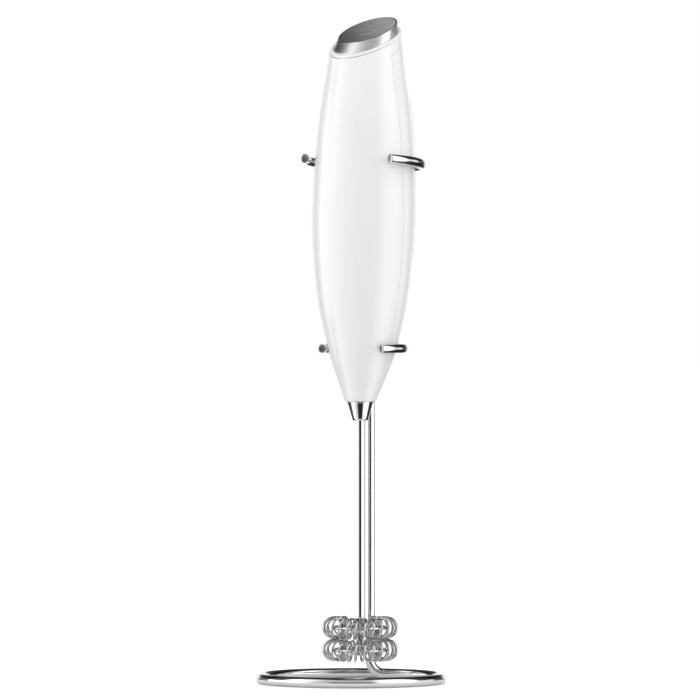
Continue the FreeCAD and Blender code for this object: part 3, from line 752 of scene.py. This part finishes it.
def button_face():
    """The dished face with its raised on/off mark."""
    top = BEZEL_RISE + CAP_HEIGHT
    play, seat, edge_round = 0.04 * MM, 0.58 * MM, 0.12 * MM
    inset = CAP_TAPER + FACE_INSET + play
    dish = 0.22 * MM
    loops = [slope_loop(inset, top - seat, CAP_TOP_SHIFT)]
    steps = 14
    reach = CAP_HALF_DEPTH - inset
    for k in range(steps):
        share = k / steps
        sink = dish * (1 - (1 - share) ** 2)
        loops.append(slope_loop(inset + reach * share, top - sink, CAP_TOP_SHIFT))
    piece = new_piece("button_face_dish", loops_to_bmesh(loops), "button",
                      FACE_METAL, ["button_face"])
    soften(piece, edge_round, 3, 50)

    centre_y = CAP_SHIFT + CAP_TOP_SHIFT
    sink = 0.12 * MM
    centre = Vector((AXIS_X, AXIS_Y + centre_y,
                     RIM_HEIGHT + top - dish - sink + (centre_y - RIM_SHIFT) * SLOPE))
    lean = Matrix.Rotation(math.atan(SLOPE), 3, "X")
    ring_radius = 3.3 * MM
    wire = 0.34 * MM
    gap, ring_steps = 75.0, 60
    bar_start, bar_length, bar_steps = 0.35, 0.9, 12
    ring = []
    for k in range(ring_steps + 1):
        angle = math.radians(90 + gap / 2 + (360 - gap) * k / ring_steps)
        flat = Vector((ring_radius * math.cos(angle), ring_radius * math.sin(angle), 0.0))
        ring.append(centre + lean @ flat)
    new_piece("on_off_ring", tube(ring, wire, end="round", sides=16), "button",
              FACE_METAL)
    bar = [centre + lean @ Vector((0, ring_radius * (bar_start + bar_length * k / bar_steps), 0))
           for k in range(bar_steps + 1)]
    new_piece("on_off_bar", tube(bar, wire, end="round", sides=16), "button",
              FACE_METAL)


def button_spring():
    """The spring under the button, wound to fill its box."""
    low, high = (corner.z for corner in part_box("button_spring"))
    radius, wire, pitch = 3.9 * MM, 0.3 * MM, 1.7 * MM
    rise = high - low - 2 * wire
    turns = rise / pitch
    steps = 140
    path = []
    for k in range(steps + 1):
        angle = 2 * math.pi * turns * k / steps
        path.append(Vector((AXIS_X + radius * math.cos(angle),
                            AXIS_Y + CAP_SHIFT + radius * math.sin(angle),
                            low + wire + rise * k / steps)))
    piece = new_piece("button_spring_coil", tube(path, wire, sides=12), "handle",
                      SLOT_MATERIALS["spring_steel"], ["button_spring"])
    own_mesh(piece)


def nose_ferrule():
    """The chrome cone under the handle, with its lips and bore."""
    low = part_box("nose_ferrule")[0].z
    seat = NOSE_HEIGHT
    tip, mouth, bore = 2.65 * MM, 4.6 * MM, 2.0 * MM
    spigot, spigot_bore = 3.7 * MM, 2.62 * MM
    lip, tip_edge, lip_edge, lip_gap = 0.25 * MM, 0.15 * MM, 0.08 * MM, 0.05 * MM
    spigot_height, steps = 2.7 * MM, 9
    cone = [(bore, low), (tip - tip_edge, low), (tip, low + tip_edge)]
    for k in range(1, steps):
        share = k / steps
        cone.append((tip + (mouth - tip) * share, low + (seat - low) * share))
    cone += [(mouth - lip_edge, seat - lip * 1.6), (mouth, seat - lip), (mouth, seat - lip_gap),
             (spigot, seat), (spigot, seat + spigot_height), (spigot_bore, seat + spigot_height),
             (spigot_bore, seat), (bore, seat)]
    new_piece("nose_cone", lathe(cone, (AXIS_X, AXIS_Y), joined=True), "handle",
              NOSE_CHROME, ["nose_ferrule"])


# ------------------------------------------------------------------ stand

WIRE_SIDES = 36
CLIP_SIDES = 32
# The upper clip is tilted, so its level is that of its circle's centre
UPPER_CLIP_HEIGHT = 176.5 * MM


def post_corners():
    """The upright's corners, from its foot on the ring to its top, and the bends at them."""
    foot_arc = 19.0 * MM
    foot_start, foot_end = 88.0, 121.1
    half_turn = (foot_end - foot_start) / 2
    foot_bend = 5.0 * MM
    foot_place = 76.0
    lean_low, lean_high, lean_out, lean_bend = 119.0 * MM, 160.0 * MM, 6.2, 25.0 * MM
    centre = polar(RING_RADIUS - foot_arc, foot_place, ROD_RADIUS)
    heading = polar(1.0, foot_end - 90)
    foot = centre + polar(foot_arc, foot_end) - heading * foot_bend
    plan = Vector((foot.x, foot.y, 0))
    outward = (plan - Vector((AXIS_X, AXIS_Y, 0))).normalized()
    upper_plan = plan + outward * lean_out * MM
    up = Vector((0, 0, 1))
    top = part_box("upright")[1].z - ROD_RADIUS
    corners = [centre + polar(foot_arc, foot_start),
               centre + polar(foot_arc / math.cos(math.radians(half_turn)),
                              foot_start + half_turn),
               foot, plan + up * lean_low, upper_plan + up * lean_high, upper_plan + up * top]
    return corners, [foot_arc, foot_bend, lean_bend, lean_bend]


def stand():
    """The base ring, the upright and the two open clips, whose cut ends stay unplated."""
    ring_steps, post_step = 240, 4.0 * MM
    ring = [polar(RING_RADIUS, 360 * k / ring_steps, ROD_RADIUS) for k in range(ring_steps)]
    new_piece("base_ring_wire", tube(ring, ROD_RADIUS, closed=True, sides=WIRE_SIDES), "stand",
              CHROME, ["base_ring"])
    corners, bends = post_corners()
    post = rounded_path(corners, bends, post_step)
    new_piece("upright_wire", tube(post, ROD_RADIUS, end="round", sides=WIRE_SIDES), "stand",
              CHROME, ["upright"])

    clip_wire = 1.5 * MM
    clip_start, clip_sweep, clip_steps = -25.4, 251.4, 110
    clips = (("upper_clip", 20.0 * MM, 1.77 * MM, 4.5), ("lower_clip", 13.95 * MM, 1.55 * MM, 0.0))
    for name, radius, shift, tilt in clips:
        low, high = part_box(name)
        level = UPPER_CLIP_HEIGHT if tilt else (low.z + high.z) / 2
        centre = Vector((AXIS_X, AXIS_Y + shift, level))
        lean = Matrix.Rotation(math.radians(-tilt), 3, "X")
        path = [centre + lean @ polar(radius, clip_start + clip_sweep * k / clip_steps)
                for k in range(clip_steps + 1)]
        piece = new_piece(name + "_wire", tube(path, clip_wire, sides=CLIP_SIDES), "stand",
                          CHROME, [name])
        piece.data.materials.append(SHEARED)
        # The faces that close the two ends were made last
        for polygon in piece.data.polygons[-2 * CLIP_SIDES:]:
            polygon.material_index = 1


# ------------------------------------------------------------------ whisk

# The gap in each coil and the legs of each core ring point this way, in degrees
WHISK_FACING = 128.0
WHISK_RADIUS = 9.3 * MM


def whisk_coil(name, level):
    """The fine wire wound round one core ring, its ends closed down onto the core."""
    turns, gap, turn_steps = 23, 36.0, 36
    reach_full, wire = 3.35 * MM, 0.38 * MM
    grip = 0.98 * MM
    grip_turns = 0.75
    steps = turns * turn_steps
    path = []
    for k in range(steps + 1):
        share = k / steps
        around = math.radians(WHISK_FACING + gap / 2 + (360 - gap) * share)
        wind = 2 * math.pi * turns * share
        from_end = min(share, 1 - share) * turns / grip_turns
        reach = grip + (reach_full - grip) * min(1.0, from_end)
        radius = WHISK_RADIUS + reach * math.cos(wind)
        path.append(Vector((AXIS_X + radius * math.cos(around),
                            AXIS_Y + radius * math.sin(around), level + reach * math.sin(wind))))
    new_piece(name + "_wire", tube(path, wire, sides=12), "whisk",
              WHISK_STEEL, [name])


def core_ring(name, level):
    """The loop inside a coil, both ends turned in to the hub side by side."""
    bend, offset, wire = 1.2 * MM, 0.66 * MM, 0.6 * MM
    leg_share, bend_steps, loop_steps = 0.6, 12, 120
    across = offset + bend
    along = math.sqrt((WHISK_RADIUS - bend) ** 2 - across ** 2)
    start = math.degrees(math.atan2(across, along))
    centre = Vector((AXIS_X, AXIS_Y, level))
    outward, sideways = polar(1.0, WHISK_FACING), polar(1.0, WHISK_FACING + 90)
    hub_reach = 2.3 * MM

    def turned_end(side):
        bend_centre = centre + outward * along + sideways * (side * across)
        begin = -sideways * side
        points = [centre + outward * hub_reach + sideways * (side * offset)]
        points.append(centre + outward * (along * leg_share) + sideways * (side * offset))
        for k in range(bend_steps + 1):
            angle = math.radians(side * (90 + start) * k / bend_steps)
            turn = Matrix.Rotation(angle, 3, "Z")
            points.append(bend_centre + (turn @ begin) * bend)
        return points

    first = turned_end(1)
    last = turned_end(-1)[::-1]
    loop = [centre + polar(WHISK_RADIUS, WHISK_FACING + start + (360 - 2 * start) * k / loop_steps)
            for k in range(1, loop_steps)]
    new_piece(name + "_core", tube(first + loop + last, wire, sides=16), "whisk",
              WHISK_STEEL, [name])


def whisk():
    """Both coils on their core rings, the shaft and the crimped hub."""
    for side in ("upper", "lower"):
        level = node_centre(side + "_ring_wire").z
        core_ring(side + "_ring_wire", level)
        whisk_coil(side + "_coil", level)
    shaft_low, shaft_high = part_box("whisk_shaft")
    chamfer = 0.2 * MM
    shaft = [(SHAFT_RADIUS - chamfer, shaft_low.z), (SHAFT_RADIUS, shaft_low.z + chamfer)]
    steps = 30
    for k in range(1, steps):
        shaft.append((SHAFT_RADIUS, shaft_low.z + (shaft_high.z - shaft_low.z) * k / steps))
    shaft += [(SHAFT_RADIUS, shaft_high.z - chamfer), (SHAFT_RADIUS - chamfer, shaft_high.z)]
    new_piece("whisk_shaft_rod", lathe(shaft, (AXIS_X, AXIS_Y), 64), "whisk",
              NOSE_CHROME, ["whisk_shaft"])
    hub_low, hub_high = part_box("whisk_hub")
    hub_radius = node_span("whisk_hub").x / 2
    groove, groove_half, groove_foot = 0.25 * MM, 1.5 * MM, 1.1 * MM
    low_edge, high_edge, edge_round = 0.4 * MM, 0.5 * MM, 0.08 * MM
    hub = [(hub_radius - low_edge, hub_low.z), (hub_radius, hub_low.z + low_edge)]
    for level in (node_centre("lower_ring_wire").z, node_centre("upper_ring_wire").z):
        hub += [(hub_radius, level - groove_half), (hub_radius - groove, level - groove_foot),
                (hub_radius - groove, level + groove_foot), (hub_radius, level + groove_half)]
    hub += [(hub_radius, hub_high.z - high_edge), (hub_radius - high_edge, hub_high.z),
            (SHAFT_RADIUS, hub_high.z)]
    piece = new_piece("whisk_hub_crimp", lathe(hub, (AXIS_X, AXIS_Y), 64), "whisk",
                      WHISK_STEEL, ["whisk_hub"])
    soften(piece, edge_round, 2, 20)


# ------------------------------------------------------------------ stage

VIEW_ANGLE = 38.0
VIEW_DISTANCE = 2.0
VIEW_HEIGHT = 0.1126
VIEW_SIDE = -0.0004
LENS = 304.3
# The sheets lie just under the object, so that nothing touches them
FLOOR_LEVEL = -0.0001
GLOW_LEVEL = -0.00005


def camera():
    data = bpy.data.cameras.new("camera")
    data.lens = LENS
    data.sensor_width = 36.0
    data.clip_end = 100.0
    eye = bpy.data.objects.new("camera", data)
    bpy.context.scene.collection.objects.link(eye)
    angle = math.radians(VIEW_ANGLE)
    eye.location = (VIEW_DISTANCE * math.sin(angle) + VIEW_SIDE * math.cos(angle),
                    VIEW_SIDE * math.sin(angle) - VIEW_DISTANCE * math.cos(angle), VIEW_HEIGHT)
    eye.rotation_euler = (math.radians(90), 0, angle)
    bpy.context.scene.camera = eye


def stage_sheet(name, material_name, builder, tone, grain, glow, level):
    """A flat pale sheet of the stage that glows a little."""
    mesh = bpy.data.meshes.new(name)
    builder.to_mesh(mesh)
    builder.free()
    sheet = bpy.data.objects.new(name, mesh)
    bpy.context.scene.collection.objects.link(sheet)
    made = Surface(material_name, (tone, tone, tone), 0.0, 0.9)
    made.roughness(made.spread(made.noise(grain, 2.0), 0.85, 0.95))
    made.set(Emission_Color=(1, 1, 1, 1), Emission_Strength=glow)
    sheet.data.materials.append(made.material)
    sheet.location.z = level
    return sheet


def floor():
    builder = bmesh.new()
    bmesh.ops.create_grid(builder, x_segments=4, y_segments=4, size=30.0)
    plane = stage_sheet("floor", "pale_floor", builder, 0.86, 3.0, 0.30, FLOOR_LEVEL)
    plane.visible_glossy = False
    plane.visible_diffuse = False


def table_glow():
    """The patch of pale table that the foot of the stand mirrors; it is never seen itself."""
    sides = 64
    reach = 0.048
    builder = bmesh.new()
    rim = [builder.verts.new(polar(reach, 360 * k / sides)) for k in range(sides)]
    builder.faces.new(rim)
    patch = stage_sheet("table_glow", "table_glow", builder, 0.78, 30.0, 0.05, GLOW_LEVEL)
    patch.visible_camera = False
    patch.visible_diffuse = False
    patch.visible_shadow = False


# The studio. Angles are in degrees round the object from the viewer: middle, half width and
# soft edge. Levels are the height of a direction, from -1 straight down to 1 straight up.
LEFT_BOX = (-100, 34, 18)
RIGHT_BOX = (60, 22, 14)
OPENING = (0, 27, 5)
FLAGS = (134, 15, 5)
BOX_TOP, BOX_FOOT = (0.7, 0.85), (-0.7, -0.5)
OPENING_TOP, OPENING_FOOT = (0.2, 0.35), (-0.8, -0.65)
BEHIND_EDGE, CARD_EDGE = (-0.05, 0.12), (0.18, 0.3)
CEILING_EDGE, TABLE_EDGE = (0.86, 0.95), (0.8, 0.93)
BOX_LIGHT = 1.4
# The share of the light that each dark part keeps
OPENING_KEPT, FLAGS_KEPT, CARDS_KEPT, CEILING_KEPT, TABLE_KEPT = 0.04, 0.12, 0.06, 0.08, 0.15


def studio():
    """Light from all round: a pale tent on matt surfaces, and one with softboxes and dark
    parts in polished ones. The background the camera sees is white."""
    world = bpy.data.worlds.new("studio")
    bpy.context.scene.world = world
    world.use_nodes = True
    tree = world.node_tree
    shade = tree.nodes["Background"]
    place = tree.nodes.new("ShaderNodeTexCoord").outputs["Generated"]
    angle = math.radians(VIEW_ANGLE)
    towards = (math.sin(angle), -math.cos(angle), 0.0)
    right = (math.cos(angle), math.sin(angle), 0.0)

    def maths(how, *values):
        made = tree.nodes.new("ShaderNodeMath")
        made.operation = how
        for k, value in enumerate(values):
            if isinstance(value, (int, float)):
                made.inputs[k].default_value = value
            else:
                tree.links.new(value, made.inputs[k])
        return made.outputs[0]

    def along(direction):
        made = tree.nodes.new("ShaderNodeVectorMath")
        made.operation = "DOT_PRODUCT"
        tree.links.new(place, made.inputs[0])
        made.inputs[1].default_value = direction
        return made.outputs["Value"]

    def ramp(value, start, stop, low, high):
        made = tree.nodes.new("ShaderNodeMapRange")
        made.interpolation_type = "SMOOTHSTEP"
        for name, number in (("From Min", start), ("From Max", stop), ("To Min", low),
                             ("To Max", high)):
            made.inputs[name].default_value = number
        tree.links.new(value, made.inputs["Value"])
        return made.outputs["Result"]

    front, side, up = along(towards), along(right), along((0.0, 0.0, 1.0))
    signed = maths("ARCTAN2", side, front)
    turn = maths("ABSOLUTE", signed)
    down = maths("MULTIPLY", up, -1.0)

    def band(value, middle, half, edge):
        """One inside a band of angles and nothing outside it, with soft edges."""
        away = maths("ABSOLUTE", maths("SUBTRACT", value, math.radians(middle)))
        return ramp(away, math.radians(half - edge), math.radians(half + edge), 1.0, 0.0)

    def dim(light, mask, kept):
        """Leave only a share of the light where the mask is one."""
        taken = maths("MULTIPLY", mask, 1.0 - kept)
        return maths("MULTIPLY", light, maths("SUBTRACT", 1.0, taken))

    # What matt surfaces gather: a pale tent, weaker from below
    tent = maths("MULTIPLY", ramp(up, -0.5, 0.2, 0.72, 1.0),
                 ramp(turn, math.radians(30), math.radians(80), 1.12, 1.30))
    tent = maths("MULTIPLY", tent, ramp(turn, math.radians(115), math.radians(165), 1.0, 0.62))

    # What polished surfaces mirror: the same tent with softboxes, a dark opening round the
    # viewer, dark flags behind to each side, and dark cards high and low behind
    mirror = ramp(turn, math.radians(32), math.radians(56), 0.62, 1.0)
    box_height = maths("MULTIPLY", ramp(up, *BOX_TOP, 1.0, 0.0), ramp(up, *BOX_FOOT, 0.0, 1.0))
    boxes = maths("ADD", band(signed, *LEFT_BOX), band(signed, *RIGHT_BOX))
    boxes = maths("MULTIPLY", boxes, box_height)
    mirror = maths("ADD", mirror, maths("MULTIPLY", boxes, BOX_LIGHT))
    opening_height = maths("MULTIPLY", ramp(up, *OPENING_TOP, 1.0, 0.0),
                           ramp(up, *OPENING_FOOT, 0.0, 1.0))
    opening = maths("MULTIPLY", band(turn, *OPENING), opening_height)
    mirror = dim(mirror, opening, OPENING_KEPT)
    mirror = dim(mirror, band(turn, *FLAGS), FLAGS_KEPT)
    behind = ramp(maths("MULTIPLY", front, -1.0), *BEHIND_EDGE, 0.0, 1.0)
    high = maths("MULTIPLY", behind, ramp(up, *CARD_EDGE, 0.0, 1.0))
    low = maths("MULTIPLY", behind, ramp(down, *CARD_EDGE, 0.0, 1.0))
    mirror = dim(mirror, maths("MAXIMUM", high, low), CARDS_KEPT)
    mirror = dim(mirror, ramp(up, *CEILING_EDGE, 0.0, 1.0), CEILING_KEPT)
    mirror = dim(mirror, ramp(down, *TABLE_EDGE, 0.0, 1.0), TABLE_KEPT)

    path = tree.nodes.new("ShaderNodeLightPath").outputs
    polished = maths("MULTIPLY", path["Is Glossy Ray"], maths("SUBTRACT", mirror, tent))
    light = maths("ADD", tent, polished)
    backdrop = maths("MAXIMUM", light, path["Is Camera Ray"])
    tree.links.new(backdrop, shade.inputs["Strength"])
    shade.inputs["Color"].default_value = (1, 1, 1, 1)


def look():
    scene = bpy.context.scene
    scene.view_settings.view_transform = "Standard"
    scene.view_settings.look = "None"
    scene.view_settings.exposure = 0.0
    scene.view_settings.gamma = 1.0


dress_frame_nodes()
front_shell()
rear_shell()
battery_door()
button_bezel()
button_cap()
button_face()
button_spring()
nose_ferrule()
stand()
whisk()
camera()
floor()
table_glow()
studio()
look()

bpy.context.view_layer.update()
